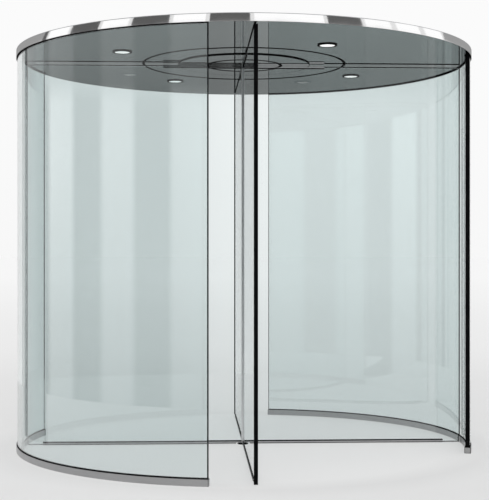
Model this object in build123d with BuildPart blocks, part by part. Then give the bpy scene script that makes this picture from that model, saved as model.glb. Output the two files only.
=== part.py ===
"""All-glass revolving door in millimetres, +Z up, with the origin on the floor at the drum's axis.

Two bent-glass walls stand in base rails and carry a thin round canopy. Four glass wings turn
between them on a floor pivot and a bearing in the canopy. The way through runs along Y.
"""

import os
from math import cos, degrees, radians, sin

from build123d import *

# Drum
drum_radius = 1300.0
passage_height = 2203.0
wall_arc = 98.0
wall_centres = {"right": 0.0, "left": 180.0}
wall_glass_thickness = 24.0
curved_clearance = 0.3

# Base rails and their gaskets
base_rail_width = 35.0
base_rail_height = 34.0
base_rail_floor = 10.0
base_cap_thickness = 3.0
base_gasket_reveal = 2.0
base_gasket_height = 5.0

# Seals on the ends and tops of the glass walls
wall_seal_depth = 3.5
wall_seal_setback = 4.0
top_gasket_height = 5.5

# Canopy
fascia_height = 41.0
fascia_thickness = 3.0
roof_thickness = 3.0
ceiling_thickness = 8.0

# Downlights in the ceiling
downlight_offset = 212.0
downlight_count = 4
bezel_radius = 52.5
bezel_drop = 7.0
lens_radius = 38.0
lens_thickness = 6.5

# Turntable and hub over the wings
turntable_margin = 200.0
turntable_gap = 8.0
hub_thickness = 6.0
hub_ring_radius = 381.0
hub_groove_radius = 213.5
hub_groove_width = 18.0
trim_ring_width = 8.0
trim_ring_drop = 2.5
hub_band_width = 3.0
hub_trim_drop = 3.5
hub_trim_gap = 2.0

# Pivots
pivot_plate_radius = 38.0
pivot_plate_height = 3.0
spindle_radius = 9.0
spindle_floor_gap = 0.5
top_pin_radius = 20.0
top_bush_radius = 60.0
running_clearance = 0.08
pivot_air_gap = 5.0

# Wings
wing_count = 4
wing_first_angle = -31.0
wing_glass_thickness = 12.0
wing_side_gap = 5.5
wing_foot_gap = 6.0
wing_floor_gap = 4.0
post_width = 28.0
post_chamfer = 6.0
wing_seal_depth = 4.0
wing_seal_width = 20.0
wing_seal_round = 2.5
wing_top_seal_height = 4.0

# Clamp rails along the tops of the wings
clamp_overhang = 87.0
clamp_width = 20.0
clamp_height = 16.0
clamp_grip = 8.0
clamp_chamfer = 1.0

# Rails along the bottoms of the wings
wing_rail_cutback = 91.0
wing_rail_width = 18.0
wing_rail_height = 15.0
wing_rail_sole = 4.0
wing_rail_chamfer = 1.0
wing_gasket_height = 7.0
glazing_clearance = 0.2
pivot_relief = 6.0

# Levels and radii that follow
glass_mid_radius = drum_radius - base_rail_width / 2
base_slot_width = wall_glass_thickness + 2 * curved_clearance
wall_glass_top = passage_height - top_gasket_height
canopy_top = passage_height + fascia_height
roof_level = canopy_top - roof_thickness
fascia_inner_radius = drum_radius - fascia_thickness
panel_radius = fascia_inner_radius - curved_clearance
turntable_radius = hub_ring_radius + turntable_margin
ceiling_hole_radius = turntable_radius + turntable_gap
downlight_reach = turntable_radius + downlight_offset
hub_level = passage_height - hub_thickness
clamp_bottom = hub_level - clamp_height
wing_glass_top = clamp_bottom + clamp_grip
wing_glass_bottom = wing_floor_gap + wing_rail_sole
wing_slot_width = wing_glass_thickness + 2 * glazing_clearance
wing_rail_top = wing_floor_gap + wing_rail_height
post_reach = post_width / 2
clamp_reach = hub_ring_radius + clamp_overhang
wing_glass_reach = glass_mid_radius - wall_glass_thickness / 2 - wing_side_gap - wing_seal_depth
wing_foot_reach = drum_radius - base_rail_width - wing_foot_gap - wing_seal_depth
wing_shelf_level = base_rail_height + base_gasket_height + wing_foot_gap
wing_notch_level = wing_shelf_level + wing_seal_depth
wing_rail_reach = wing_foot_reach - wing_rail_cutback
turntable_top = passage_height + ceiling_thickness
wing_angles = [wing_first_angle + k * 360 / wing_count for k in range(wing_count)]

# Arcs of the wall stack, in degrees
cap_arc = degrees(base_cap_thickness / glass_mid_radius)
seal_arc = degrees(wall_seal_depth / glass_mid_radius)
rail_arc = wall_arc - 2 * cap_arc
gasket_arc = wall_arc - 2 * degrees(wall_seal_setback / glass_mid_radius)
glass_arc = gasket_arc - 2 * seal_arc


def radial_plane(angle):
    # Upright half-plane through the axis, x pointing outward and y pointing up
    turn = radians(angle)
    return Plane(origin=(0, 0, 0), x_dir=(cos(turn), sin(turn), 0), z_dir=(sin(turn), -cos(turn), 0))


def section_plane(angle, reach):
    # Upright plane across a wing at a distance from the axis, x across the wing and y up
    turn = radians(angle)
    return Plane(
        origin=(reach * cos(turn), reach * sin(turn), 0),
        x_dir=(-sin(turn), cos(turn), 0),
        z_dir=(cos(turn), sin(turn), 0),
    )


def band(width, low, high, mode=Mode.ADD, across=0):
    # A rectangle of a sketch between two levels
    with Locations((across, (low + high) / 2)):
        Rectangle(width, high - low, mode=mode)


def ring_band(inner, outer, low, high, mode=Mode.ADD):
    # A rectangle of a radial sketch between two radii and two levels
    band(outer - inner, low, high, mode, (inner + outer) / 2)


def save(piece, name):
    piece.part.label = name
    export_step(piece.part, f"parts/{name}.step")


def make_base_rail(side, centre):
    # Curved channel that holds a glass wall
    with BuildPart() as rail:
        with BuildSketch(radial_plane(centre - rail_arc / 2)):
            band(base_rail_width, 0, base_rail_height, across=glass_mid_radius)
            band(base_slot_width, base_rail_floor, base_rail_height, Mode.SUBTRACT, glass_mid_radius)
        revolve(axis=Axis.Z, revolution_arc=rail_arc)
    save(rail, f"{side}_base_rail")


def make_base_gasket(side, centre):
    # Rubber strips along the rail, one on each side of the glass
    strip_width = (base_rail_width - base_slot_width) / 2 - base_gasket_reveal
    strip_offset = (base_slot_width + strip_width) / 2
    with BuildPart() as gasket:
        for strip_radius in (glass_mid_radius - strip_offset, glass_mid_radius + strip_offset):
            with BuildSketch(radial_plane(centre - gasket_arc / 2)):
                strip_top = base_rail_height + base_gasket_height
                band(strip_width, base_rail_height, strip_top, across=strip_radius)
            revolve(axis=Axis.Z, revolution_arc=gasket_arc)
    save(gasket, f"{side}_base_gasket")


def make_wall_glass(side, centre):
    # Bent laminated pane
    with BuildPart() as glass:
        with BuildSketch(radial_plane(centre - glass_arc / 2)):
            band(wall_glass_thickness, base_rail_floor, wall_glass_top, across=glass_mid_radius)
        revolve(axis=Axis.Z, revolution_arc=glass_arc)
    save(glass, f"{side}_wall_glass")


def make_wall_edge_seals(side, centre):
    # Black strips on the two upright ends of a pane
    with BuildPart() as seals:
        for start in (centre - gasket_arc / 2, centre + glass_arc / 2):
            with BuildSketch(radial_plane(start)):
                band(wall_glass_thickness, base_rail_floor, wall_glass_top, across=glass_mid_radius)
            revolve(axis=Axis.Z, revolution_arc=seal_arc)
    save(seals, f"{side}_wall_edge_seals")


def make_top_gasket(side, centre):
    # Black strip on a pane, which the ceiling and the rim rest on
    with BuildPart() as gasket:
        with BuildSketch(radial_plane(centre - gasket_arc / 2)):
            band(base_rail_width, wall_glass_top, passage_height, across=glass_mid_radius)
        revolve(axis=Axis.Z, revolution_arc=gasket_arc)
    save(gasket, f"{side}_top_gasket")


def make_base_rail_end_caps():
    # Plates that close the four rail ends
    with BuildPart() as caps:
        for centre in wall_centres.values():
            for start in (centre - wall_arc / 2, centre + rail_arc / 2):
                with BuildSketch(radial_plane(start)):
                    band(base_rail_width, 0, base_rail_height, across=glass_mid_radius)
                revolve(axis=Axis.Z, revolution_arc=cap_arc)
    save(caps, "base_rail_end_caps")


def make_canopy_fascia():
    # Polished rim round the ceiling
    with BuildPart() as fascia:
        with BuildSketch(Plane.XY.offset(passage_height)):
            Circle(drum_radius)
            Circle(fascia_inner_radius, mode=Mode.SUBTRACT)
        extrude(amount=roof_level - passage_height)
    save(fascia, "canopy_fascia")


def make_canopy_roof():
    # Cover plate on the rim, with a bush below that steadies the turntable's pin
    with BuildPart() as roof:
        with BuildSketch(Plane.XY.offset(roof_level)):
            Circle(drum_radius)
        extrude(amount=roof_thickness)
        with BuildSketch(Plane.XY.offset(turntable_top + pivot_air_gap)):
            Circle(top_bush_radius)
            Circle(top_pin_radius + running_clearance, mode=Mode.SUBTRACT)
        extrude(amount=roof_level - turntable_top - pivot_air_gap)
    save(roof, "canopy_roof")


def make_ceiling_panel():
    # Glossy ring flush with the foot of the rim
    with BuildPart() as ceiling:
        with BuildSketch(Plane.XY.offset(passage_height)):
            Circle(panel_radius)
            Circle(ceiling_hole_radius, mode=Mode.SUBTRACT)
        extrude(amount=ceiling_thickness)
    save(ceiling, "ceiling_panel")


def make_downlight_bezels():
    # Black rings under the ceiling
    with BuildPart() as bezels:
        with BuildSketch(Plane.XY.offset(passage_height - bezel_drop)):
            with PolarLocations(downlight_reach, downlight_count):
                Circle(bezel_radius)
                Circle(lens_radius, mode=Mode.SUBTRACT)
        extrude(amount=bezel_drop)
    save(bezels, "downlight_bezels")


def make_downlight_lenses():
    # White discs that shine inside the rings
    with BuildPart() as lenses:
        with BuildSketch(Plane.XY.offset(passage_height - lens_thickness)):
            with PolarLocations(downlight_reach, downlight_count):
                Circle(lens_radius - curved_clearance)
        extrude(amount=lens_thickness)
    save(lenses, "downlight_lenses")


def make_floor_pivot():
    # Dark plate let onto the floor, with a hole for the spindle
    with BuildPart() as plate:
        with BuildSketch(Plane.XY):
            Circle(pivot_plate_radius)
            Circle(spindle_radius + running_clearance, mode=Mode.SUBTRACT)
        extrude(amount=pivot_plate_height)
    save(plate, "floor_pivot")


def make_turntable():
    # Disc that turns flush inside the ceiling, with a pin that runs in the roof's bush
    with BuildPart() as disc:
        with BuildSketch(Plane.XY.offset(passage_height)):
            Circle(turntable_radius)
        extrude(amount=ceiling_thickness)
        with BuildSketch(Plane.XY.offset(turntable_top)):
            Circle(top_pin_radius)
        extrude(amount=roof_level - turntable_top - pivot_air_gap)
    save(disc, "turntable")


def make_hub_ring():
    # Outer disc over the wing tops
    with BuildPart() as ring:
        with BuildSketch(Plane.XY.offset(hub_level)):
            Circle(hub_ring_radius - hub_band_width - curved_clearance)
            Circle(hub_groove_radius + hub_groove_width / 2, mode=Mode.SUBTRACT)
        extrude(amount=hub_thickness)
    save(ring, "hub_ring")


def make_hub_cap():
    # Inner disc, parted from the outer one by a groove
    with BuildPart() as cap:
        with BuildSketch(Plane.XY.offset(hub_level)):
            Circle(hub_groove_radius - hub_groove_width / 2)
        extrude(amount=hub_thickness)
    save(cap, "hub_cap")


def make_turntable_rings():
    # Black trims: under the turntable's edge, round the hub, and in its groove, parted there by the clamps
    with BuildPart() as rings:
        with BuildSketch(Plane.XY.offset(passage_height - trim_ring_drop)):
            Circle(turntable_radius)
            Circle(turntable_radius - trim_ring_width, mode=Mode.SUBTRACT)
        extrude(amount=trim_ring_drop)
        with BuildSketch(Plane.XY.offset(hub_level)):
            Circle(hub_ring_radius)
            Circle(hub_ring_radius - hub_band_width, mode=Mode.SUBTRACT)
        extrude(amount=hub_thickness)
        with BuildSketch(Plane.XY.offset(hub_level - hub_trim_drop)):
            Circle(hub_groove_radius + hub_groove_width / 2 - curved_clearance)
            Circle(hub_groove_radius - hub_groove_width / 2 + curved_clearance, mode=Mode.SUBTRACT)
        extrude(amount=hub_thickness + hub_trim_drop)
        for angle in wing_angles:
            with BuildSketch(section_plane(angle, post_reach)):
                band(clamp_width + 2 * hub_trim_gap, hub_level - hub_trim_drop, hub_level)
            extrude(amount=clamp_reach - post_reach, mode=Mode.SUBTRACT)
    save(rings, "turntable_rings")


def make_centre_post():
    # Slender post between the inner edges of the wings, with a spindle that runs in the floor plate
    with BuildPart() as post:
        with BuildSketch(Plane.XY.offset(wing_glass_bottom)) as profile:
            Rectangle(post_width, post_width, rotation=wing_first_angle)
            chamfer(profile.vertices(), post_chamfer)
        extrude(amount=hub_level - wing_glass_bottom)
        with BuildSketch(Plane.XY.offset(spindle_floor_gap)):
            Circle(spindle_radius)
        extrude(amount=wing_glass_bottom - spindle_floor_gap)
    save(post, "centre_post")


def make_wing_glass(number, angle):
    # Flat pane of a wing, notched at its foot to pass the base rails
    with BuildPart() as glass:
        with BuildSketch(section_plane(angle, post_reach)):
            band(wing_glass_thickness, wing_glass_bottom, wing_glass_top)
        extrude(amount=wing_glass_reach - post_reach)
        with BuildSketch(section_plane(angle, wing_foot_reach)):
            band(wing_glass_thickness, wing_glass_bottom, wing_notch_level)
        extrude(amount=wing_glass_reach - wing_foot_reach, mode=Mode.SUBTRACT)
    save(glass, f"wing_glass_{number}")


def make_wing_top_clamp(number, angle):
    # Polished rail that grips the top of a pane under the hub
    with BuildPart() as clamp:
        with BuildSketch(section_plane(angle, post_reach)) as profile:
            band(clamp_width, clamp_bottom, hub_level)
            chamfer(profile.vertices().group_by(Axis.Z)[0], clamp_chamfer)
            band(wing_slot_width, clamp_bottom, wing_glass_top, Mode.SUBTRACT)
        extrude(amount=clamp_reach - post_reach)
    save(clamp, f"wing_top_clamp_{number}")


def make_wing_bottom_rail(number, angle):
    # Shoe under a pane, with its sides cut back near the outer edge and relieved over the pivot
    with BuildPart() as rail:
        with BuildSketch(section_plane(angle, post_reach)) as profile:
            band(wing_rail_width, wing_floor_gap, wing_rail_top)
            chamfer(profile.vertices().group_by(Axis.Z)[0], wing_rail_chamfer)
            band(wing_slot_width, wing_glass_bottom, wing_rail_top, Mode.SUBTRACT)
        extrude(amount=wing_rail_reach - post_reach)
        with BuildSketch(section_plane(angle, wing_rail_reach)):
            band(wing_glass_thickness, wing_floor_gap, wing_glass_bottom)
        extrude(amount=wing_foot_reach - wing_rail_reach)
        with BuildSketch(Plane.XY):
            Circle(pivot_plate_radius + pivot_relief)
        extrude(amount=wing_glass_bottom, mode=Mode.SUBTRACT)
    save(rail, f"wing_bottom_rail_{number}")


def make_wing_edge_seal(number, angle):
    # Black strip along the outer edge of a pane, which steps in round the notch
    with BuildPart() as seal:
        with BuildSketch(section_plane(angle, wing_glass_reach)):
            band(wing_seal_width, wing_shelf_level, wing_glass_top)
        extrude(amount=wing_seal_depth)
        with BuildSketch(section_plane(angle, wing_foot_reach)):
            band(wing_seal_width, wing_shelf_level, wing_notch_level)
        extrude(amount=wing_glass_reach - wing_foot_reach)
        with BuildSketch(section_plane(angle, wing_foot_reach)):
            band(wing_seal_width, wing_floor_gap, wing_shelf_level)
        extrude(amount=wing_seal_depth)
        nose = section_plane(angle, wing_glass_reach + wing_seal_depth)
        outer_edges = seal.edges().filter_by(Axis.Z).sort_by(Axis(nose.origin, -nose.z_dir))[:2]
        fillet(outer_edges, wing_seal_round)
    save(seal, f"wing_edge_seal_{number}")


def make_wing_top_seals():
    # Dark strips on the top edges outside the clamps
    with BuildPart() as seals:
        for angle in wing_angles:
            with BuildSketch(section_plane(angle, clamp_reach)):
                band(wing_glass_thickness, wing_glass_top, wing_glass_top + wing_top_seal_height)
            extrude(amount=wing_glass_reach - clamp_reach)
    save(seals, "wing_top_seals")


def make_wing_bottom_gaskets():
    # Black strips on both sides of each pane, along the top of its shoe
    strip_width = (wing_rail_width - wing_glass_thickness) / 2
    strip_centre = (wing_glass_thickness + strip_width) / 2
    with BuildPart() as gaskets:
        for angle in wing_angles:
            for side in (-1, 1):
                with BuildSketch(section_plane(angle, post_reach)):
                    gasket_top = wing_rail_top + wing_gasket_height
                    band(strip_width, wing_rail_top, gasket_top, across=side * strip_centre)
                extrude(amount=wing_rail_reach - post_reach)
    save(gaskets, "wing_bottom_gaskets")


os.makedirs("parts", exist_ok=True)

# Fixed enclosure
for wall_side, wall_centre in wall_centres.items():
    make_base_rail(wall_side, wall_centre)
    make_base_gasket(wall_side, wall_centre)
    make_wall_glass(wall_side, wall_centre)
    make_wall_edge_seals(wall_side, wall_centre)
    make_top_gasket(wall_side, wall_centre)
make_base_rail_end_caps()
make_canopy_fascia()
make_canopy_roof()
make_ceiling_panel()
make_downlight_bezels()
make_downlight_lenses()
make_floor_pivot()

# Turning rotor
make_turntable()
make_hub_ring()
make_hub_cap()
make_turntable_rings()
make_centre_post()
for wing_number, wing_angle in enumerate(wing_angles, start=1):
    make_wing_glass(wing_number, wing_angle)
    make_wing_top_clamp(wing_number, wing_angle)
    make_wing_bottom_rail(wing_number, wing_angle)
    make_wing_edge_seal(wing_number, wing_angle)
make_wing_top_seals()
make_wing_bottom_gaskets()
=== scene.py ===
"""Looks for the all-glass revolving door: meshes, finishes, studio and camera, in metres."""

import logging
import math
from dataclasses import dataclass, field
from enum import Enum
from functools import cache
from typing import Sequence

import bmesh
import bpy
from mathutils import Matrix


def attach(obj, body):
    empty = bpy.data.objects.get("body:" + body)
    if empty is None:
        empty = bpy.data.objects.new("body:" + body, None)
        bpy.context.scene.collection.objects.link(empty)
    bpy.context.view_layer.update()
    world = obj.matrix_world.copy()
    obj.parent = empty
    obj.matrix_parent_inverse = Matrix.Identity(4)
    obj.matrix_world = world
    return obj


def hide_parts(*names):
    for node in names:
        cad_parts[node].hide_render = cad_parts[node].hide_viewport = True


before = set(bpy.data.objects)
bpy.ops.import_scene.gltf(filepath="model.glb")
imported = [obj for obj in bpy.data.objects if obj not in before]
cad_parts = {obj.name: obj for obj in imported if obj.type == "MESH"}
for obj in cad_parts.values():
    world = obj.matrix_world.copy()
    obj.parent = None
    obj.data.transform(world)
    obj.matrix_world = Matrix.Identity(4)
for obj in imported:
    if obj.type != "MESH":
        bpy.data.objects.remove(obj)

Point = tuple[float, float]
Corner = tuple[float, float, float]
Tone = Corner
Pairs = Sequence[Point]
Outline = Pairs
Socket = bpy.types.NodeSocket
Material = bpy.types.Material

WING_ANGLES = (-31.0, 59.0, 149.0, 239.0)

# The parts of a noise pattern's range that finishes use
NOISE: Point = (0.3, 0.7)
UPPER_NOISE: Point = (0.35, 0.7)

# Corner numbers of a box outline, and the share of a side that rounding may take
LOW_CORNERS = (0, 1)
HIGH_CORNERS = (2, 3)
CORNER_SHARE = 0.49

# Angles between faces from which an edge is bevelled, and from which it is shaded as sharp
BEVEL_FROM = math.radians(40.0)
SHARP_FROM = math.radians(50.0)

# Glossy depths that only rays after a first or a second mirror pass
ONE_MIRROR = 0.5
TWO_MIRRORS = 1.5

log = logging.getLogger("revolving_door")


class Body(Enum):
    """The two bodies of the door."""

    ENCLOSURE = "enclosure"
    ROTOR = "rotor"


class Side(Enum):
    """The two glass walls, each with the direction of its middle in degrees."""

    LEFT = 180.0
    RIGHT = 0.0


class Way(Enum):
    """The coordinate that a straight piece is drawn along, in a wing's own frame."""

    OUTWARD = 0
    ACROSS = 1
    UPWARD = 2


# Finishes


def grey(level: float) -> Tone:
    """Returns a neutral tone."""
    return (level, level, level)


class NodeBench:
    """A material or a world under construction, with short ways to add its nodes."""

    def __init__(self, name: str = "", world: bpy.types.World | None = None) -> None:
        """Starts an empty node material, or clears a world's nodes.

        Args:
            name: The material's name.
            world: The world to build instead of a material.
        """
        self.material = world or bpy.data.materials.new(name)
        self.material.use_nodes = True
        self.tree = self.material.node_tree
        self.tree.nodes.clear()
        self.output = self.tree.nodes.new("ShaderNodeOutputWorld" if world else "ShaderNodeOutputMaterial")

    def add(self, kind: str, *values: object, operation: str = "", **sockets: object) -> bpy.types.Node:
        """Adds a node and fills its inputs with plain values or links.

        Args:
            kind: The node type without its ShaderNode prefix.
            values: What its first inputs get, in order.
            operation: What it does, where its type leaves a choice.
            sockets: What other inputs get, by socket name with underscores for spaces.

        Returns:
            The new node.
        """
        node = self.tree.nodes.new("ShaderNode" + kind)
        if operation:
            node.operation = operation
        named = [(key.replace("_", " "), value) for key, value in sockets.items()]
        for key, value in [*enumerate(values), *named]:
            if isinstance(value, Socket):
                self.tree.links.new(value, node.inputs[key])
            else:
                node.inputs[key].default_value = value
        return node

    def put(self, kind: str, *values: object, **sockets: object) -> Socket:
        """Adds a node like add does, and returns its first output."""
        return self.add(kind, *values, **sockets).outputs[0]

    def math(self, operation: str, *values: object) -> Socket:
        """Returns the result of a Math operation."""
        return self.put("Math", *values, operation=operation)

    def times(self, first: object, second: object) -> Socket:
        """Returns the product of two values."""
        return self.math("MULTIPLY", first, second)

    def lerp(self, share: object, low: object, high: object) -> Socket:
        """Returns the value that lies a share of the way from one value to another."""
        return self.math("MULTIPLY_ADD", share, self.math("SUBTRACT", high, low), low)

    def place(self) -> Socket:
        """Returns the object's own coordinates."""
        return self.add("TexCoord").outputs["Object"]

    def drum_place(self, stretch: Corner) -> Socket:
        """Adds coordinates that follow the drum: angle, distance from the axis, height.

        Args:
            stretch: How many times each of the three is multiplied.

        Returns:
            The coordinates.
        """
        east, north, height = self.add("SeparateXYZ", Vector=self.place()).outputs
        angle = self.math("ARCTAN2", north, east)
        reach = self.math("SQRT", self.math("ADD", self.math("POWER", east, 2.0), self.math("POWER", north, 2.0)))
        parts = zip((angle, reach, height), stretch)
        return self.put("CombineXYZ", *(self.times(part, factor) for part, factor in parts))

    def noise(self, place: Socket, scale: float, detail: float) -> Socket:
        """Returns a noise pattern, about 0.3 to 0.7, with so many octaves of detail."""
        return self.add("TexNoise", Vector=place, Scale=scale, Detail=detail).outputs["Fac"]

    def span(self, value: Socket, source: Point, target: Point = (0.0, 1.0)) -> Socket:
        """Returns a value mapped from one range to another, clamped."""
        return self.put("MapRange", value, *source, *target)

    def ramp(self, place: Socket, stops: Sequence[tuple[float, Tone]]) -> Socket:
        """Adds a ramp of tones.

        Args:
            place: Where on the ramp, 0 to 1.
            stops: Each stop's position and tone, in order.

        Returns:
            The colour.
        """
        node = self.add("ValToRGB", Fac=place)
        elements = node.color_ramp.elements
        while len(elements) < len(stops):
            elements.new(0.5)
        for element, (position, tone) in zip(elements, stops):
            element.position = position
            element.color = (*tone, 1.0)
        return node.outputs["Color"]

    def blend(self, value: Socket, source: Point, low: Tone, high: Tone) -> Socket:
        """Returns a colour that goes from one tone to another over a range of a value."""
        return self.ramp(self.span(value, source), ((0.0, low), (1.0, high)))

    def steps(self, place: Socket, stops: Pairs, low: float, high: float) -> Socket:
        """Returns the grey at a place, 0 to 1, of a ramp whose stops are on a scale from low to high."""
        return self.ramp(place, [((at - low) / (high - low), grey(tone)) for at, tone in stops])

    def mix(self, share: Socket, first: Socket, second: Socket) -> Socket:
        """Returns a mix of two shaders, with the second one's share given."""
        return self.put("MixShader", share, first, second)

    def rays(self) -> tuple[Socket, Socket]:
        """Tells apart the rays that the studio shows itself to.

        Returns:
            Whether a ray ends in the picture, and whether it does so by way of a mirror.
        """
        kinds = self.add("LightPath").outputs
        through = self.math("MAXIMUM", kinds["Is Glossy Ray"], kinds["Is Transmission Ray"])
        seen = self.math("MAXIMUM", through, kinds["Is Camera Ray"])
        return seen, self.times(through, self.math("GREATER_THAN", kinds["Glossy Depth"], ONE_MIRROR))

    def bump(self, height: Socket, depth: float) -> Socket:
        """Returns a normal for a height pattern whose full step is so deep in metres."""
        return self.add("Bump", Height=height, Distance=depth, Strength=1.0).outputs["Normal"]

    def close(self, shader: Socket) -> Material:
        """Links the finished shader to the output and returns the material."""
        self.tree.links.new(shader, self.output.inputs["Surface"])
        return self.material


@dataclass(frozen=True)
class MetalFinish:
    """Bare metal with lines along its length and soft handling marks."""

    name: str
    slot: str
    dark: Tone
    light: Tone
    rough: Point
    stretch: Corner
    depth: float = 0.00001
    edge_tint: float = 1.0
    mark_scale: float = 5.0

    def material(self) -> Material:
        """Makes the node material.

        Returns:
            The material.
        """
        bench = NodeBench(self.name)
        lines = bench.noise(bench.drum_place(self.stretch), scale=1.0, detail=4.0)
        marks = bench.noise(bench.place(), self.mark_scale, detail=5.0)
        metal = bench.put(
            "BsdfPrincipled",
            Base_Color=bench.blend(lines, NOISE, self.dark, self.light),
            Metallic=1.0,
            Roughness=bench.span(marks, UPPER_NOISE, self.rough),
            Specular_Tint=(*grey(self.edge_tint), 1.0),
            Normal=bench.bump(lines, self.depth),
        )
        return bench.close(metal)


@dataclass(frozen=True)
class GlassFinish:
    """Clear float glass with a faint cool tint, which lets light through to the floor."""

    name: str
    slot: str
    tint: Tone
    tint_deep: Tone
    index: float
    haze: float = 0.001
    shade: Tone = (0.95, 0.97, 0.97)
    cloud_range: Point = (0.35, 0.65)
    cloud_scale: float = 0.9
    wipe_range: Point = (0.5, 0.75)
    wipe_stretch: Corner = (6.0, 6.0, 1.5)

    def material(self) -> Material:
        """Makes the node material.

        Returns:
            The material.
        """
        bench = NodeBench(self.name)
        cloud = bench.noise(bench.place(), self.cloud_scale, detail=2.0)
        wipes = bench.noise(bench.drum_place(self.wipe_stretch), scale=1.0, detail=5.0)
        glass = bench.put(
            "BsdfPrincipled",
            Base_Color=bench.blend(cloud, self.cloud_range, self.tint_deep, self.tint),
            Roughness=bench.span(wipes, self.wipe_range, (0.0, self.haze)),
            IOR=self.index,
            Transmission_Weight=1.0,
        )
        clear = bench.put("BsdfTransparent", Color=(*self.shade, 1.0))
        return bench.close(bench.mix(bench.add("LightPath").outputs["Is Shadow Ray"], glass, clear))


@dataclass(frozen=True)
class RubberFinish:
    """Black rubber or lacquer with fine grain and a little dust."""

    name: str
    slot: str
    base: Tone
    dusty: Tone
    rough: Point
    grain: float = 900.0
    depth: float = 0.00006
    shine: float = 0.03
    dust_range: Point = (0.45, 0.8)
    dust_scale: float = 11.0

    def material(self) -> Material:
        """Makes the node material.

        Returns:
            The material.
        """
        bench = NodeBench(self.name)
        grain = bench.noise(bench.place(), self.grain, detail=2.0)
        dust = bench.noise(bench.place(), self.dust_scale, detail=6.0)
        rubber = bench.put(
            "BsdfPrincipled",
            Base_Color=bench.blend(dust, self.dust_range, self.base, self.dusty),
            Roughness=bench.span(dust, UPPER_NOISE, self.rough),
            Specular_IOR_Level=self.shine,
            Normal=bench.bump(grain, self.depth),
        )
        return bench.close(rubber)


@dataclass(frozen=True)
class DiffuserFinish:
    """White lamp cover that glows, with a fine frost."""

    name: str
    slot: str
    glow: float
    dark: Tone = (0.86, 0.86, 0.85)
    light: Tone = (0.92, 0.92, 0.91)
    rough: Point = (0.35, 0.5)
    depth: float = 0.00004
    frost_scale: float = 600.0

    def material(self) -> Material:
        """Makes the node material.

        Returns:
            The material.
        """
        bench = NodeBench(self.name)
        frost = bench.noise(bench.place(), self.frost_scale, detail=2.0)
        tone = bench.blend(frost, NOISE, self.dark, self.light)
        cover = bench.put(
            "BsdfPrincipled",
            Base_Color=tone,
            Roughness=bench.span(frost, NOISE, self.rough),
            Emission_Color=tone,
            Emission_Strength=self.glow,
            Normal=bench.bump(frost, self.depth),
        )
        return bench.close(cover)


POLISHED_STEEL = MetalFinish(
    "polished steel", "polished_steel", grey(0.90), grey(0.95),
    rough=(0.03, 0.07), stretch=(6.0, 300.0, 900.0), depth=0.000002,
)
SATIN_STEEL = MetalFinish(
    "satin steel", "satin_steel", (0.37, 0.37, 0.375), (0.44, 0.44, 0.445),
    rough=(0.30, 0.42), stretch=(9.0, 700.0, 900.0), depth=0.000015,
)
WING_RAIL_STEEL = MetalFinish(
    "wing rail steel", "satin_steel", (0.40, 0.40, 0.405), (0.48, 0.48, 0.485),
    rough=(0.42, 0.55), stretch=(90.0, 12.0, 900.0), depth=0.000015, edge_tint=0.0,
)
CLAMP_STEEL = MetalFinish(
    "clamp steel", "polished_steel", (0.50, 0.515, 0.52), (0.57, 0.585, 0.59),
    rough=(0.05, 0.09), stretch=(90.0, 12.0, 700.0), depth=0.000004, edge_tint=0.0,
)
END_CAP_METAL = MetalFinish(
    "end cap metal", "end_cap_metal", grey(0.36), grey(0.44),
    rough=(0.30, 0.45), stretch=(400.0, 300.0, 700.0), depth=0.00002,
)
POST_STEEL = MetalFinish(
    "post steel", "satin_steel", (0.76, 0.76, 0.77), (0.86, 0.86, 0.87),
    rough=(0.28, 0.42), stretch=(300.0, 500.0, 6.0),
)
DARK_STEEL = MetalFinish(
    "dark steel", "dark_steel", (0.02, 0.02, 0.022), (0.04, 0.04, 0.043),
    rough=(0.35, 0.5), stretch=(2.0, 1400.0, 60.0), depth=0.00002, edge_tint=0.0,
)
CEILING_GLOSS = MetalFinish(
    "ceiling gloss", "ceiling_gloss", (0.50, 0.53, 0.53), (0.53, 0.56, 0.56),
    rough=(0.01, 0.03), stretch=(3.0, 5.0, 3.0), depth=0.0,
)
ROOF_SHEET = MetalFinish(
    "roof sheet", "roof_sheet", (0.42, 0.43, 0.44), (0.56, 0.57, 0.58),
    rough=(0.35, 0.5), stretch=(14.0, 30.0, 30.0), depth=0.00002,
)
WALL_GLASS = GlassFinish("wall glass", "wall_glass", (0.81, 0.871, 0.871), (0.80, 0.863, 0.863), index=1.68)
WING_GLASS = GlassFinish("wing glass", "wing_glass", (0.85, 0.895, 0.895), (0.84, 0.89, 0.89), index=1.52)
BLACK_RUBBER = RubberFinish(
    "black rubber", "black_rubber", (0.002, 0.002, 0.0025), grey(0.006), rough=(0.5, 0.7)
)
BLACK_TRIM = RubberFinish(
    "black trim", "black_trim", grey(0.006), grey(0.012),
    rough=(0.5, 0.65), grain=500.0, depth=0.00002, shine=0.05,
)
DIFFUSER = DiffuserFinish("diffuser", "diffuser", glow=0.85)

Finish = MetalFinish | GlassFinish | RubberFinish | DiffuserFinish


@cache
def dressed(finish: Finish) -> Material:
    """Returns the material of a finish, made once."""
    return finish.material()


# Meshes


def box_outline(left: float, right: float, low: float, high: float) -> Outline:
    """Returns the corners of a rectangle, counter-clockwise from the lower left."""
    return [(left, low), (right, low), (right, high), (left, high)]


def channel(middle: float, half: float, slot: float, low: float, bed: float, high: float) -> Outline:
    """Returns a U section about a middle, by half its width, half its slot's and its foot, bed and top levels."""
    places = [middle + offset for offset in (-half, half, half, slot, slot, -slot, -slot, -half)]
    return list(zip(places, (low, low, high, high, bed, bed, high, high)))


def circle(radius: float, count: int) -> Outline:
    """Returns points at equal angles round the axis."""
    angles = [2 * math.pi * number / count for number in range(count)]
    return [(radius * math.cos(angle), radius * math.sin(angle)) for angle in angles]


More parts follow.
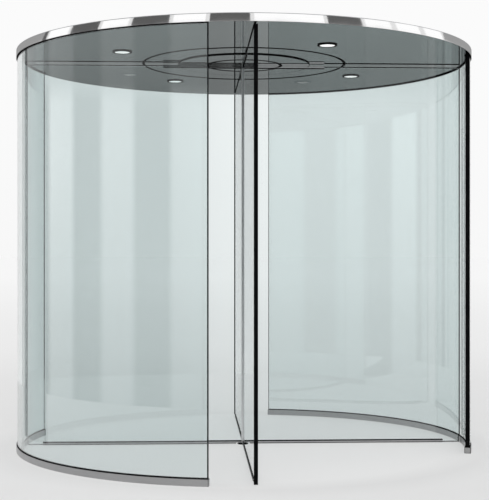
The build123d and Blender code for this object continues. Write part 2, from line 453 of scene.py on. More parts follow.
def rounded(outline: Outline, radius: float, sharp: Sequence[int], steps: int) -> list[Point]:
    """Rounds the corners of a closed outline.

    Args:
        outline: The corners in order.
        radius: The radius of each rounded corner.
        sharp: Numbers of corners that stay as they are.
        steps: How many pieces each corner's arc has.

    Returns:
        The points of the rounded outline.
    """
    points: list[Point] = []
    for number, corner in enumerate(outline):
        if number in sharp:
            points.append(corner)
            continue
        before, after = outline[number - 1], outline[(number + 1) % len(outline)]
        reach_in, reach_out = math.dist(corner, before), math.dist(corner, after)
        way_in = tuple((other - own) / reach_in for other, own in zip(before, corner))
        way_out = tuple((other - own) / reach_out for other, own in zip(after, corner))
        cosine = max(-1.0, min(1.0, way_in[0] * way_out[0] + way_in[1] * way_out[1]))
        pull = min(radius / math.tan(math.acos(cosine) / 2), CORNER_SHARE * reach_in, CORNER_SHARE * reach_out)
        first, last = (tuple(own + way * pull for own, way in zip(corner, ways)) for ways in (way_in, way_out))
        for step in range(steps + 1):
            share = step / steps
            start, middle, end = (1 - share) ** 2, 2 * share * (1 - share), share ** 2
            points.append(tuple(start * a + middle * b + end * c for a, b, c in zip(first, corner, last)))
    return points


def bulbs(left: Outline, right: Outline, radius: float, steps: int) -> list[Outline]:
    """Returns the sections of a left and a right strip with their outer upper corners rounded."""
    return [rounded(left, radius, (0, 1, 2), steps), rounded(right, radius, (0, 1, 3), steps)]


def shown(name: str, data: bpy.types.ID) -> bpy.types.Object:
    """Returns a new object in the scene, which holds a mesh, a lamp or a camera."""
    bpy.context.scene.collection.objects.link(obj := bpy.data.objects.new(name, data))
    return obj


@dataclass
class Blank:
    """A mesh under construction."""

    corners: list[Corner] = field(default_factory=list)
    faces: list[tuple[int, ...]] = field(default_factory=list)

    def skin(self, rings: Sequence[Sequence[Corner]], closed: bool) -> None:
        """Joins rings of points into a solid.

        Args:
            rings: Rings of the same number of points.
            closed: Whether the last ring joins the first; open ends get caps.
        """
        first = len(self.corners)
        count = len(rings[0])
        for ring in rings:
            self.corners.extend(ring)
        for number in range(len(rings) if closed else len(rings) - 1):
            low = first + number * count
            high = first + (number + 1) % len(rings) * count
            for point in range(count):
                after = (point + 1) % count
                self.faces.append((low + point, low + after, high + after, high + point))
        if not closed:
            last = first + (len(rings) - 1) * count
            self.faces.append(tuple(first + point for point in reversed(range(count))))
            self.faces.append(tuple(last + point for point in range(count)))

    def turn(
        self, outline: Outline, start: float = 0.0, arc: float = 360.0,
        axis: Point = (0.0, 0.0), step: float = 1.0,
    ) -> None:
        """Turns an outline of (distance, height) points about an upright axis.

        Args:
            outline: The closed outline.
            start: The first angle in degrees.
            arc: The angle turned in degrees.
            axis: Where the axis stands.
            step: The largest angle of a segment in degrees.
        """
        closed = arc >= 360.0
        count = max(1, math.ceil(arc / step))
        rings = []
        for number in range(count if closed else count + 1):
            angle = math.radians(start + arc * number / count)
            east, north = math.cos(angle), math.sin(angle)
            rings.append([(axis[0] + reach * east, axis[1] + reach * north, height) for reach, height in outline])
        self.skin(rings, closed)

    def draw(
        self, outline: Outline, angle: float, start: float, end: float, way: Way = Way.OUTWARD
    ) -> None:
        """Draws an outline out straight.

        Args:
            outline: The closed outline, in the two other coordinates of outward, across and up.
            angle: The outward direction in degrees.
            start: Where it starts.
            end: Where it ends.
            way: The coordinate it is drawn along.
        """
        turn = math.radians(angle)
        east, north = math.cos(turn), math.sin(turn)
        rings = []
        for level in (start, end):
            spots = [(*point[:way.value], level, *point[way.value:]) for point in outline]
            rings.append([(out * east - side * north, out * north + side * east, up) for out, side, up in spots])
        self.skin(rings, False)

    def piece(self, name: str, finish: Finish, body: Body, nodes: Sequence[str], soften: float = 0.0) -> None:
        """Makes the blank into a piece of the door.

        Args:
            name: The piece's name.
            finish: Its finish.
            body: The body it moves with.
            nodes: The CAD nodes that it stands for.
            soften: The width of the small rounding on its sharp edges.
        """
        mesh = bpy.data.meshes.new(name)
        work = bmesh.new()
        points = [work.verts.new(corner) for corner in self.corners]
        for face in self.faces:
            work.faces.new([points[number] for number in face])
        bmesh.ops.recalc_face_normals(work, faces=work.faces)
        if soften:
            edges = [edge for edge in work.edges if edge.calc_face_angle(0.0) > BEVEL_FROM]
            bmesh.ops.bevel(
                work, geom=edges, offset=soften, segments=2, profile=0.5, affect="EDGES", clamp_overlap=True
            )
        work.to_mesh(mesh)
        work.free()
        mesh.polygons.foreach_set("use_smooth", [True] * len(mesh.polygons))
        mesh.set_sharp_from_angle(angle=SHARP_FROM)
        mesh.materials.append(dressed(finish))
        obj = shown(name, mesh)
        obj.modifiers.new("even shading", "WEIGHTED_NORMAL").keep_sharp = True
        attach(obj, body.value)
        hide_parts(*nodes)
        log.info("piece %s on %s", name, body.value)


def dress_node(node: str, finish: Finish) -> None:
    """Gives a carried-over CAD node its finish.

    Args:
        node: The node's name.
        finish: Its finish.
    """
    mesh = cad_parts[node].data
    mesh.materials.clear()
    mesh.materials.append(dressed(finish))
    log.info("node %s in %s", node, finish.name)


# Sub-assemblies


@dataclass
class GlassWall:
    """One bent-glass wall with its base rail, gaskets and end seals."""

    side: Side
    middle_radius: float = 1.2825
    arc: float = 98.0
    glass_thickness: float = 0.024
    glass_top: float = 2.1975
    rail_width: float = 0.035
    rail_height: float = 0.034
    rail_floor: float = 0.010
    slot_gap: float = 0.0003
    cap_depth: float = 0.003
    seal_depth: float = 0.0035
    seal_setback: float = 0.004
    gasket_reveal: float = 0.002
    gasket_height: float = 0.005
    gasket_round: float = 0.0035
    head_round: float = 0.003
    canopy_level: float = 2.203
    softening: float = 0.0008

    def degrees_of(self, length: float) -> float:
        """Returns the angle that a length takes along the wall."""
        return math.degrees(length / self.middle_radius)

    def section(self, near: float, far: float, low: float, high: float) -> Outline:
        """Returns a rectangle across the wall, between two distances from its middle and two heights."""
        return box_outline(self.middle_radius + near, self.middle_radius + far, low, high)

    def build(self) -> None:
        """Builds the pane with its end strips, the channel it stands in and the gaskets at its foot and head."""
        side, centre = self.side.name.lower(), self.side.value
        glass, rail = self.glass_thickness / 2, self.rail_width / 2
        slot = glass + self.slot_gap
        strip = self.degrees_of(self.seal_depth)
        sealed = self.arc - 2 * self.degrees_of(self.seal_setback)
        glazed = sealed - 2 * strip
        railed = self.arc - 2 * self.degrees_of(self.cap_depth)
        ends = [centre - sealed / 2, centre + sealed / 2 - strip]
        pane = self.section(-glass, glass, self.rail_floor, self.glass_top)
        base = channel(self.middle_radius, rail, slot, 0.0, self.rail_floor, self.rail_height)
        lip, levels = rail - self.gasket_reveal, (self.rail_height, self.rail_height + self.gasket_height)
        sections = [self.section(near, far, *levels) for near, far in ((-lip, -slot), (slot, lip))]
        gaskets = bulbs(*sections, self.gasket_round, steps=5)
        head = self.section(-rail, rail, self.glass_top, self.canopy_level)
        head = rounded(head, self.head_round, HIGH_CORNERS, steps=4)
        pieces = (
            ("pane", "wall_glass", WALL_GLASS, [pane], [centre - glazed / 2], glazed, self.softening),
            ("end_strips", "wall_edge_seals", BLACK_RUBBER, [pane], ends, strip, self.softening),
            ("floor_rail", "base_rail", SATIN_STEEL, [base], [centre - railed / 2], railed, self.softening),
            ("rail_gasket", "base_gasket", BLACK_RUBBER, gaskets, [centre - sealed / 2], sealed, 0.0),
            ("head_gasket", "top_gasket", BLACK_RUBBER, [head], [centre - sealed / 2], sealed, 0.0),
        )
        for name, node, finish, outlines, starts, arc, soften in pieces:
            blank = Blank()
            for outline in outlines:
                for start in starts:
                    blank.turn(outline, start, arc)
            blank.piece(f"{side}_{name}", finish, Body.ENCLOSURE, [f"{side}_{node}"], soften)


@dataclass
class RailEnds:
    """The plates that close the four ends of the base rails, each on a black plate that paints the shadow gap
    round it.
    """

    walls: Sequence[GlassWall]
    # Thickness of the black plate behind each end plate, which paints the shadow gap round it
    shadow_plate: float = 0.0014
    margin: float = 0.0026
    plate_softening: float = 0.0005
    shadow_plate_softening: float = 0.0004

    def build(self) -> None:
        """Builds the four plates with softened rims, and the black plates behind them that paint the shadow gap
        round each.
        """
        plates, shadow_plates = Blank(), Blank()
        for wall in self.walls:
            half = wall.rail_width / 2
            inset = half - self.margin
            outline = wall.section(-half, half, 0.0, wall.rail_height)
            panel = wall.section(-inset, inset, self.margin, wall.rail_height - self.margin)
            depth, shadow_plate = wall.degrees_of(wall.cap_depth), wall.degrees_of(self.shadow_plate)
            first, last = wall.side.value - wall.arc / 2, wall.side.value + wall.arc / 2
            plates.turn(panel, first, depth - shadow_plate)
            # A black plate behind each end plate paints the shadow gap round it
            shadow_plates.turn(outline, first + depth - shadow_plate, shadow_plate)
            shadow_plates.turn(outline, last - depth, shadow_plate)
            plates.turn(panel, last - depth + shadow_plate, depth - shadow_plate)
        caps = ["base_rail_end_caps"]
        plates.piece("rail_end_plates", END_CAP_METAL, Body.ENCLOSURE, caps, self.plate_softening)
        shadow_plates.piece("rail_end_shadow_plates", BLACK_TRIM, Body.ENCLOSURE, caps, self.shadow_plate_softening)


@dataclass
class Canopy:
    """The round canopy: polished rim, roof, ceiling and downlights."""

    radius: float = 1.300
    level: float = 2.203
    roof_level: float = 2.241
    rim_thickness: float = 0.0015
    downlight_reach: float = 0.793
    downlight_count: int = 4
    bezel_radius: float = 0.0525
    bezel_drop: float = 0.0054
    bezel_round: float = 0.0012
    lens_radius: float = 0.0405
    lens_thickness: float = 0.0049
    lens_gap: float = 0.0003
    lens_hollow: float = 0.0004
    lens_dome: float = 0.0008
    lens_shoulder: float = 0.0011
    dome_shares: Sequence[float] = (0.25, 0.5, 0.7, 0.85, 0.95)
    softening: float = 0.0002

    def build(self) -> None:
        """Builds the pieces and dresses the carried-over nodes."""
        rim = Blank()
        rim.turn(box_outline(self.radius - self.rim_thickness, self.radius, self.level, self.roof_level))
        rim.piece("canopy_rim", POLISHED_STEEL, Body.ENCLOSURE, ["canopy_fascia"], self.softening)
        self.build_downlights()
        dress_node("canopy_roof", ROOF_SHEET)
        dress_node("ceiling_panel", CEILING_GLOSS)

    def build_downlights(self) -> None:
        """Builds the black rings and the shallow domed covers inside them."""
        ring = box_outline(self.lens_radius, self.bezel_radius, self.level - self.bezel_drop, self.level)
        ring = rounded(ring, self.bezel_round, HIGH_CORNERS, steps=3)
        edge = self.lens_radius - self.lens_gap
        crown = self.level - self.lens_thickness
        cover = [(self.lens_hollow, self.level), (self.lens_hollow, crown)]
        cover += [(edge * share, crown + self.lens_dome * share ** 3) for share in self.dome_shares]
        cover += [(edge, crown + self.lens_shoulder), (edge, self.level)]
        rings, covers = Blank(), Blank()
        for spot in circle(self.downlight_reach, self.downlight_count):
            rings.turn(ring, axis=spot, step=5.0)
            covers.turn(cover, axis=spot, step=5.0)
        rings.piece("downlight_rings", BLACK_TRIM, Body.ENCLOSURE, ["downlight_bezels"])
        covers.piece("downlight_covers", DIFFUSER, Body.ENCLOSURE, ["downlight_lenses"])


@dataclass
class Hub:
    """The turntable, hub discs and centre post of the rotor, and the plate it turns in."""

    wing_angles: Sequence[float]
    level: float = 2.197
    thickness: float = 0.006
    ring_radius: float = 0.381
    ring_inner: float = 0.2225
    cap_radius: float = 0.2045
    band_width: float = 0.003
    band_round: float = 0.0006
    fit: float = 0.0003
    trim_radius: float = 0.581
    trim_width: float = 0.008
    trim_drop: float = 0.0025
    trim_round: float = 0.001
    groove_drop: float = 0.0012
    clamp_half: float = 0.012
    pivot_radius: float = 0.038
    pivot_bore: float = 0.00908
    pivot_height: float = 0.003
    pivot_softening: float = 0.001
    softening: float = 0.0012

    def build(self) -> None:
        """Builds the pieces and dresses the carried-over nodes."""
        top = self.level + self.thickness
        disc = box_outline(self.ring_inner, self.ring_radius - self.band_width - self.fit, self.level, top)
        ring = Blank()
        ring.turn(disc, step=2.0)
        ring.piece("hub_outer_disc", CEILING_GLOSS, Body.ROTOR, ["hub_ring"], self.softening)
        self.build_trims()
        plate = Blank()
        plate.turn(box_outline(self.pivot_bore, self.pivot_radius, 0.0, self.pivot_height), step=4.0)
        plate.piece("floor_plate", DARK_STEEL, Body.ENCLOSURE, ["floor_pivot"], self.pivot_softening)
        dress_node("turntable", CEILING_GLOSS)
        dress_node("hub_cap", CEILING_GLOSS)
        dress_node("centre_post", POST_STEEL)

    def build_trims(self) -> None:
        """Builds the black rings: under the turntable's edge, round the hub and in its groove."""
        top = self.level + self.thickness
        trims = Blank()
        edge = box_outline(self.trim_radius - self.trim_width, self.trim_radius, top - self.trim_drop, top)
        trims.turn(rounded(edge, self.trim_round, HIGH_CORNERS, steps=3), step=1.5)
        band = box_outline(self.ring_radius - self.band_width, self.ring_radius, self.level, top)
        trims.turn(rounded(band, self.band_round, HIGH_CORNERS, steps=2), step=1.5)
        inner, outer = self.cap_radius + self.fit, self.ring_inner - self.fit
        trims.turn(box_outline(inner, outer, self.level, top), step=2.0)
        lip = box_outline(inner, outer, self.level - self.groove_drop, self.level)
        lip = rounded(lip, self.trim_round, HIGH_CORNERS, steps=3)
        pause = math.degrees(math.asin(self.clamp_half / inner))
        arc = 360.0 / len(self.wing_angles) - 2 * pause
        for angle in self.wing_angles:
            trims.turn(lip, angle + pause, arc, step=2.0)
        trims.piece("turntable_trims", BLACK_TRIM, Body.ROTOR, ["turntable_rings"])


@dataclass
class Wing:
    """One glass wing with its clamp, shoe and edge seal."""

    number: int
    angle: float
    root: float = 0.014
    glass_thickness: float = 0.012
    glass_low: float = 0.008
    glass_high: float = 2.189
    glass_reach: float = 1.261
    foot_reach: float = 1.255
    shelf_level: float = 0.045
    clamp_width: float = 0.020
    clamp_low: float = 2.181
    clamp_high: float = 2.197
    clamp_reach: float = 0.468
    slot_width: float = 0.0124
    lip_height: float = 0.004
    shoe_width: float = 0.018
    shoe_low: float = 0.0065
    shoe_high: float = 0.015
    shoe_relief: float = 0.044
    shoe_reach: float = 1.164
    shoe_round: float = 0.001
    seal_width: float = 0.020
    seal_depth: float = 0.004
    seal_low: float = 0.004
    seal_high: float = 2.1975
    seal_round: float = 0.0008
    groove_depth: float = 0.0012
    groove_offset: float = 0.0045
    softening: float = 0.0007

    def label(self, piece: str) -> str:
        """Returns the name of one of this wing's pieces or CAD nodes."""
        return f"wing_{piece}_{self.number}"

    def build(self) -> None:
        """Builds the pane, which is notched at its outer foot, and the pieces along its edges."""
        half = self.glass_thickness / 2
        notch = self.shelf_level + self.seal_depth
        outline = [
            (self.root, self.glass_low), (self.foot_reach, self.glass_low), (self.foot_reach, notch),
            (self.glass_reach, notch), (self.glass_reach, self.glass_high), (self.root, self.glass_high),
        ]
        pane = Blank()
        pane.draw(outline, self.angle, -half, half, Way.ACROSS)
        pane.piece(self.label("pane"), WING_GLASS, Body.ROTOR, [self.label("glass")], self.softening)
        self.build_clamp()
        self.build_shoe()
        self.build_seal()

    def build_clamp(self) -> None:
        """Builds the rail that grips the pane's top under the hub, with black lips along its lower edge."""
        half, slot = self.clamp_width / 2, self.slot_width / 2
        lip = self.clamp_low + self.lip_height
        outline = [
            (-half, lip), (-slot, lip), (-slot, self.glass_high), (slot, self.glass_high),
            (slot, lip), (half, lip), (half, self.clamp_high), (-half, self.clamp_high),
        ]
        clamp, lips = Blank(), Blank()
        clamp.draw(outline, self.angle, self.root, self.clamp_reach)
        for near, far in ((-half, -slot), (slot, half)):
            lips.draw(box_outline(near, far, self.clamp_low, lip), self.angle, self.root, self.clamp_reach)
        nodes = [self.label("top_clamp")]
        clamp.piece(self.label("clamp"), CLAMP_STEEL, Body.ROTOR, nodes, self.softening)
        lips.piece(self.label("clamp_lips"), BLACK_RUBBER, Body.ROTOR, nodes, self.softening)

    def build_shoe(self) -> None:
        """Builds the channel under the pane, relieved over the pivot."""
        half, slot = self.shoe_width / 2, self.slot_width / 2
        bed, high = self.glass_low, self.shoe_high
        outline = channel(0.0, half, slot, self.shoe_low, bed, high)
        outline = rounded(outline, self.shoe_round, range(2, 8), steps=2)
        shoe = Blank()
        shoe.draw(outline, self.angle, self.shoe_relief, self.shoe_reach)
        for near, far in ((-half, -slot), (slot, half)):
            shoe.draw(box_outline(near, far, bed, high), self.angle, self.root, self.shoe_relief)
        shoe.piece(self.label("shoe"), WING_RAIL_STEEL, Body.ROTOR, [self.label("bottom_rail")])

    def build_seal(self) -> None:
        """Builds the black edge strip with two grooves along its nose, which steps in round the notch."""
        half = self.seal_width / 2
        face, nose = self.glass_reach, self.glass_reach + self.seal_depth
        corners = [(face, -half), (nose, -half), (nose, half), (face, half)]
        outline = rounded(corners, self.seal_round, (0, 3), steps=3)
        groove, bed = self.groove_depth, nose - self.groove_depth
        grooves = []
        for centre in (-self.groove_offset, self.groove_offset):
            grooves += [
                (nose, centre - groove), (bed, centre - groove / 2),
                (bed, centre + groove / 2), (nose, centre + groove),
            ]
        middle = len(outline) // 2
        outline[middle:middle] = grooves
        seal = Blank()
        seal.draw(outline, self.angle, self.shelf_level, self.seal_high, Way.UPWARD)
        notch, toe = self.shelf_level + self.seal_depth, self.foot_reach + self.seal_depth
        foot = [
            (self.foot_reach, self.seal_low), (toe, self.seal_low), (toe, self.shelf_level),
            (face, self.shelf_level), (face, notch), (self.foot_reach, notch),
        ]
        seal.draw(foot, self.angle, -half, half, Way.ACROSS)
        seal.piece(self.label("strip"), BLACK_RUBBER, Body.ROTOR, [self.label("edge_seal")])


@dataclass
class WingTrims:
    """The dark strips along the tops, the shoes and the soles of all the wings, with a black strip under each
    shoe that paints the shadow below it.
    """

    wings: Sequence[Wing]
    top_high: float = 2.1945
    top_round: float = 0.003
    strip_high: float = 0.0208
    strip_width: float = 0.003
    strip_round: float = 0.0015
    # Where the black strip that paints the shadow under each shoe starts, and how low it reaches
    shadow_strip_start: float = 0.046
    shadow_strip_low: float = 0.003

    def build(self) -> None:
        """Builds the top strips, and the shoe strips with black strips under them that paint the shoes' shadow,
        and the thin soles beyond.
        """
        tops, shoes = Blank(), Blank()
        for wing in self.wings:
            half, wide = wing.glass_thickness / 2, wing.shoe_width / 2
            crown = box_outline(-half, half, wing.glass_high, self.top_high)
            crown = rounded(crown, self.top_round, LOW_CORNERS, steps=4)
            tops.draw(crown, wing.angle, wing.clamp_reach, wing.glass_reach)
            sole = box_outline(-half, half, wing.seal_low, wing.glass_low)
            shoes.draw(sole, wing.angle, wing.shoe_reach, wing.foot_reach)
            # A black strip under each shoe paints the shadow between the shoe and the floor
            shadow_strip = box_outline(-wide, wide, self.shadow_strip_low, wing.shoe_low)
            shoes.draw(shadow_strip, wing.angle, self.shadow_strip_start, wing.shoe_reach)
            edges = ((-half - self.strip_width, -half), (half, half + self.strip_width))
            sections = [box_outline(near, far, wing.shoe_high, self.strip_high) for near, far in edges]
            for strip in bulbs(*sections, self.strip_round, steps=3):
                shoes.draw(strip, wing.angle, wing.root, wing.shoe_reach)
        tops.piece("wing_top_strips", BLACK_RUBBER, Body.ROTOR, ["wing_top_seals"])
        shoes.piece("wing_shoe_strips", BLACK_RUBBER, Body.ROTOR, ["wing_bottom_gaskets"])


# Studio


@dataclass
class Studio:
    """Pale floor, white surroundings, soft light, reflecting screens and the camera.

    Its directions are in degrees from the camera's side, and how high a direction points runs from -1 to 1.
    """

    floor_radius: float = 400.0
    floor_corners: int = 96
    floor_drop: float = 0.0005
    # Floor tone by distance from the axis: the brighter middle is painted light that cancels the canopy's shade,
    # the dip at 1.36 m is a painted shadow round the door's foot, and the tone pales far off
    painted_light_floor_tones: Pairs = (
        (0.0, 0.89), (1.15, 0.88), (1.36, 0.79), (1.43, 0.825), (1.75, 0.815), (4.0, 0.80), (7.3, 0.845),
        (24.0, 0.905), (50.0, 0.94),
    )
    floor_glow: float = 0.55
    mirror_reach: float = 4.1
    side_patch: Pairs = ((2.10, 1.28), (1.234, 0.427))
    side_patch_edge: float = -1.74
    sky_tone: float = 0.935
    high_sky_tone: float = 0.965
    sky_turn: Point = (0.0, 0.15)
    lights: Point = (1.9, 0.2)
    light_turn: Point = (0.6, 0.85)
    sun_strength: float = 0.35
    sun_width: float = 60.0
    sun_turn: Corner = (38.0, 0.0, -50.0)
    white_panels: Pairs = (
        (-110.5, -91.0), (-72.5, -54.0), (-35.0, -15.8), (2.9, 39.6), (57.3, 114.5),
    )
    panel_softness: float = 3.0
    panel_turn: Point = (0.125, 0.142)
    panel_whites: Pairs = (
        (-0.15, 0.40), (-0.11, 0.53), (-0.08, 0.58), (0.0035, 0.76), (0.087, 1.0), (0.125, 1.0), (0.142, 0.50),
    )
    panel_peak: float = 1.25
    panel_darks: Point = (0.05, 0.35)
    panel_tops: Point = (0.24, 0.36)
    second_tones: Pairs = ((-40.0, 0.45), (-30.0, 0.05), (4.4, 0.05), (5.6, 0.5), (40.0, 0.45))
    rear_turn: Point = (113.5, 116.0)
    rear_tones: Pairs = (
        (114.0, 0.67), (146.0, 0.67), (152.0, 0.92), (174.7, 0.92), (175.0, 0.25), (181.0, 0.25), (181.3, 0.92),
        (186.0, 0.92), (186.3, 0.25), (192.0, 0.25), (192.4, 0.92), (214.6, 0.92), (214.9, 0.35), (215.9, 0.35),
        (216.2, 0.98), (219.2, 0.98), (219.5, 0.03), (222.2, 0.03), (222.5, 0.75), (224.0, 0.59), (246.0, 0.59),
    )
    low_rear_tones: Pairs = ((-0.184, 0.335), (-0.142, 0.255))
    low_rear_level: float = -0.1288
    low_rear_blur: float = 0.003
    low_rear_width: float = 30.0
    screen_radius: float = 4.4
    screen_edges: Sequence[float] = (-99.1, -95.6, -77.9, -61.7, -45.5, -29.4, -13.2, 2.4, 33.3, 48.4, 98.6)
    screen_bars: Sequence[float] = (63.0, 66.0, 80.0, 83.5)
    screen_border: float = 1.6
    screen_levels: Sequence[float] = (2.800, 2.815, 2.92, 6.0)
    screen_step: float = 2.0
    dark_tone: float = 0.11
    white_tone: float = 1.08
    pale_tone: float = 0.80
    back_screen_levels: Sequence[float] = (2.85, 3.0, 3.1, 6.0)
    back_screen_tone: float = 0.34
    camera_place: Corner = (-3.830, -5.765, 1.10)
    lens: float = 85.7
    shift: Point = (0.0012, 0.009)
    sight: float = 2000.0

    def build(self) -> None:
        """Sets up everything around the door."""
        bpy.context.scene.view_settings.view_transform = "Standard"
        self.build_world()
        self.build_floor()
        self.build_sun()
        self.build_screens()
        self.build_camera()

    def view(self) -> float:
        """Returns the direction of the camera's side in radians."""
        return math.atan2(self.camera_place[1], self.camera_place[0])

    def facing(self, bench: NodeBench, place: Socket) -> tuple[Socket, Socket, Socket]:
        """Turns coordinates to the camera's side.

        Args:
            bench: The nodes under construction.
            place: The coordinates.

        Returns:
            How far they go toward that side, beside it and up.
        """
        east, north, height = bench.add("SeparateXYZ", Vector=place).outputs
        cosine, sine = math.cos(self.view()), math.sin(self.view())
        toward = bench.math("ADD", bench.times(east, cosine), bench.times(north, sine))
        beside = bench.math("SUBTRACT", bench.times(north, cosine), bench.times(east, sine))
        return toward, beside, height

    def build_world(self) -> None:
        """Makes a white backdrop for what is seen, panels for what is mirrored and a plain level of light."""
        world = bpy.data.worlds.new("studio")
        bpy.context.scene.world = world
        bench = NodeBench(world=world)
        seen, mirrored = bench.rays()
        direction = self.facing(bench, bench.add("TexCoord").outputs["Generated"])
        height = direction[2]
        light = bench.span(height, self.light_turn, self.lights)
        sky = bench.span(height, self.sky_turn, (self.sky_tone, self.high_sky_tone))
        lamps = bench.put("Background", Strength=light)
        backdrop = bench.put("Background", Color=sky)
        panels = bench.put("Background", Color=self.panels(bench, *direction))
        bench.close(bench.mix(mirrored, bench.mix(seen, lamps, backdrop), panels))

    def panels(self, bench: NodeBench, toward: Socket, beside: Socket, height: Socket) -> Socket:
        """Adds the tone that mirrors show in each direction.

        Args:
            bench: The world under construction.
            toward: How far the direction goes toward the camera's side.
            beside: How far it goes beside it.
            height: How high it points.

        Returns:
            The tone.
        """
        angle = bench.math("ARCTAN2", beside, toward)
        place = bench.span(angle, (-math.pi, math.pi))
        lowest, highest = self.panel_whites[0][0], self.panel_whites[-1][0]
        rise = bench.span(height, (lowest, highest))
        white = bench.times(bench.steps(rise, self.panel_whites, lowest, highest), self.panel_peak)
        dark = bench.span(height, self.panel_turn, self.panel_darks)
        soft = self.panel_softness / 2
        edges: list[Point] = []
        for start, end in self.white_panels:
            edges += [(start - soft, 0.0), (start + soft, 1.0), (end - soft, 1.0), (end + soft, 0.0)]
        share = bench.steps(place, edges, -180.0, 180.0)
        once = bench.math("ADD", bench.times(share, white), bench.times(bench.math("SUBTRACT", 1.0, share), dark))
        again = bench.math("GREATER_THAN", bench.add("LightPath").outputs["Glossy Depth"], TWO_MIRRORS)
        front = bench.lerp(again, once, bench.steps(place, self.second_tones, -180.0, 180.0))
        turned = bench.math("MODULO", bench.math("ADD", angle, 2 * math.pi), 2 * math.pi)
        rear = bench.steps(bench.math("DIVIDE", turned, 2 * math.pi), self.rear_tones, 0.0, 360.0)
        aside = bench.math("ABSOLUTE", angle)
        straight = bench.math("GREATER_THAN", aside, math.radians(180.0 - self.low_rear_width))
        blur = (self.low_rear_level - self.low_rear_blur, self.low_rear_level + self.low_rear_blur)
        low = bench.times(bench.span(height, blur, (1.0, 0.0)), straight)
        low_tone = bench.span(height, *zip(*self.low_rear_tones))
        behind = bench.span(aside, tuple(math.radians(edge) for edge in self.rear_turn))
        tone = bench.lerp(behind, front, bench.lerp(low, rear, low_tone))
        return bench.lerp(bench.span(height, self.panel_tops), tone, self.sky_tone)

    def build_floor(self) -> None:
        """Lays a wide floor that pales towards the distance, with painted light under the door and a painted
        shadow ring round the door's foot, and that mirrors show only near the door.
        """
        bench = NodeBench("studio floor")
        reach = bench.add("VectorMath", bench.place(), operation="LENGTH").outputs["Value"]
        widest = self.painted_light_floor_tones[-1][0]
        # This tone carries painted light under the door and a painted shadow ring round its foot
        tone = bench.steps(bench.span(reach, (0.0, widest)), self.painted_light_floor_tones, 0.0, widest)
        seen, mirrored = bench.rays()
        lit = bench.put("BsdfDiffuse", Color=tone)
        glow = bench.put("Emission", Color=tone)
        clear = bench.put("BsdfTransparent")
        toward, beside, _ = self.facing(bench, bench.place())
        near, far = (bench.math("ADD", bench.times(beside, slope), start) for start, slope in self.side_patch)
        patch = bench.times(bench.math("GREATER_THAN", toward, near), bench.math("LESS_THAN", toward, far))
        patch = bench.times(patch, bench.math("LESS_THAN", beside, self.side_patch_edge))
        hidden = bench.math("MAXIMUM", bench.math("GREATER_THAN", reach, self.mirror_reach), patch)
        pale = bench.mix(bench.times(seen, self.floor_glow), lit, glow)
        mesh = bpy.data.meshes.new("studio_floor")
        rim = [(east, north, -self.floor_drop) for east, north in circle(self.floor_radius, self.floor_corners)]
        mesh.from_pydata(rim, [], [tuple(range(self.floor_corners))])
        mesh.materials.append(bench.close(bench.mix(bench.times(mirrored, hidden), pale, clear)))
        floor = shown("studio_floor", mesh)

    def build_sun(self) -> None:
        """Hangs one broad soft lamp high on the camera's side."""
        lamp = bpy.data.lights.new("soft_key", "SUN")
        lamp.energy = self.sun_strength
        lamp.angle = math.radians(self.sun_width)
        holder = shown("soft_key", lamp)
        holder.rotation_euler = [math.radians(angle) for angle in self.sun_turn]
        holder.visible_glossy = False

    def build_screens(self) -> None:
        """Stands dark, white and grey screens high round the door, which only the rim mirrors."""
        bands: list[tuple[float, float, float]] = []
        for number, (start, end) in enumerate(zip(self.screen_edges, self.screen_edges[1:])):
            if number % 2 == 0:
                bands.append((start, end, self.dark_tone))
                continue
            bars = [edge for edge in self.screen_bars if start < edge < end]
            edges = [start, start + self.screen_border, *bars, end - self.screen_border, end]
            for place, (left, right) in enumerate(zip(edges, edges[1:])):
                bands.append((left, right, self.white_tone if place % 2 else self.pale_tone))
        for number, (start, end, tone) in enumerate(bands):
            self.screen(f"screen_{number}", start, end, self.screen_levels, tone)
        first, last = self.screen_edges[0], self.screen_edges[-1]
        levels, tone = self.back_screen_levels, self.back_screen_tone
        self.screen("rear_screen", last, 360.0 + first, levels, tone, lean=0.0, lift=0.0)

    def screen(
        self, name: str, start: float, end: float, levels: Sequence[float], tone: float,
        lean: float = 0.0175, lift: float = 0.036,
    ) -> None:
        """Stands one curved screen.

        Args:
            name: Its name.
            start: The direction where it starts.
            end: The direction where it ends.
            levels: The heights of its four rows of points.
            tone: How bright it shows.
            lean: How far its upright edges lean to the camera's side between the middle rows.
            lift: How much higher its two lower rows are at 100 degrees from the camera's side.
        """
        bench = NodeBench(name)
        glow = bench.put("Emission", Color=(*grey(tone), 1.0))
        view = math.degrees(self.view())
        count = max(2, math.ceil((end - start) / self.screen_step))
        rows = len(levels)
        points, faces = [], []
        for number in range(count + 1):
            turn = start + (end - start) * number / count
            for row, height in enumerate(levels):
                lower = row < rows / 2
                angle = math.radians(view + turn * (1.0 + lean if lower else 1.0 - lean))
                raised = height + lift * (turn / 100.0) ** 2 if lower else height
                east, north = self.screen_radius * math.cos(angle), self.screen_radius * math.sin(angle)
                points.append((east, north, raised))
            if number:
                for row in range(rows - 1):
                    low = (number - 1) * rows + row
                    faces.append((low, low + rows, low + rows + 1, low + 1))
        mesh = bpy.data.meshes.new(name)
        mesh.from_pydata(points, [], faces)
        mesh.materials.append(bench.close(glow))
        obj = shown(name, mesh)
        for kind in ("camera", "diffuse", "transmission", "shadow", "volume_scatter"):
            setattr(obj, f"visible_{kind}", False)

    def build_camera(self) -> None:
        """Sets the camera where the photograph was taken, level and aimed at the axis."""
        data = bpy.data.cameras.new("camera")
        data.lens = self.lens
        data.shift_x, data.shift_y = self.shift
        data.clip_end = self.sight
        obj = shown("camera", data)
        obj.location = self.camera_place
        aim = math.atan2(-self.camera_place[1], -self.camera_place[0])
        obj.rotation_euler = (math.radians(90.0), 0.0, aim - math.radians(90.0))
        bpy.context.scene.camera = obj


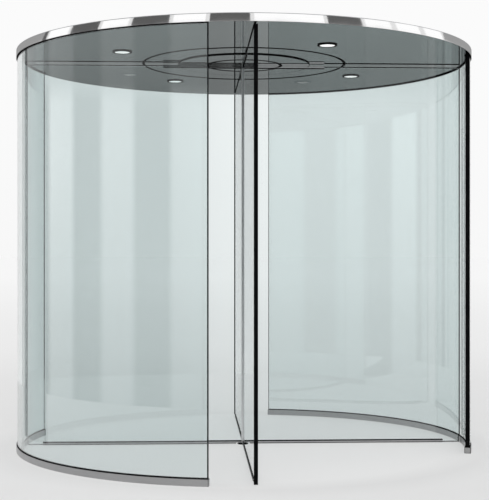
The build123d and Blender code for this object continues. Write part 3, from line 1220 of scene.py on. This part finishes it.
def main() -> None:
    """Builds the door and its studio."""
    logging.basicConfig(level=logging.INFO, format="%(message)s")
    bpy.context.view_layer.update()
    walls = [GlassWall(side) for side in Side]
    wings = [Wing(number, angle) for number, angle in enumerate(WING_ANGLES, start=1)]
    for wall in walls:
        wall.build()
    RailEnds(walls).build()
    Canopy().build()
    Hub(WING_ANGLES).build()
    for wing in wings:
        wing.build()
    WingTrims(wings).build()
    Studio().build()


if __name__ == "__main__":
    main()
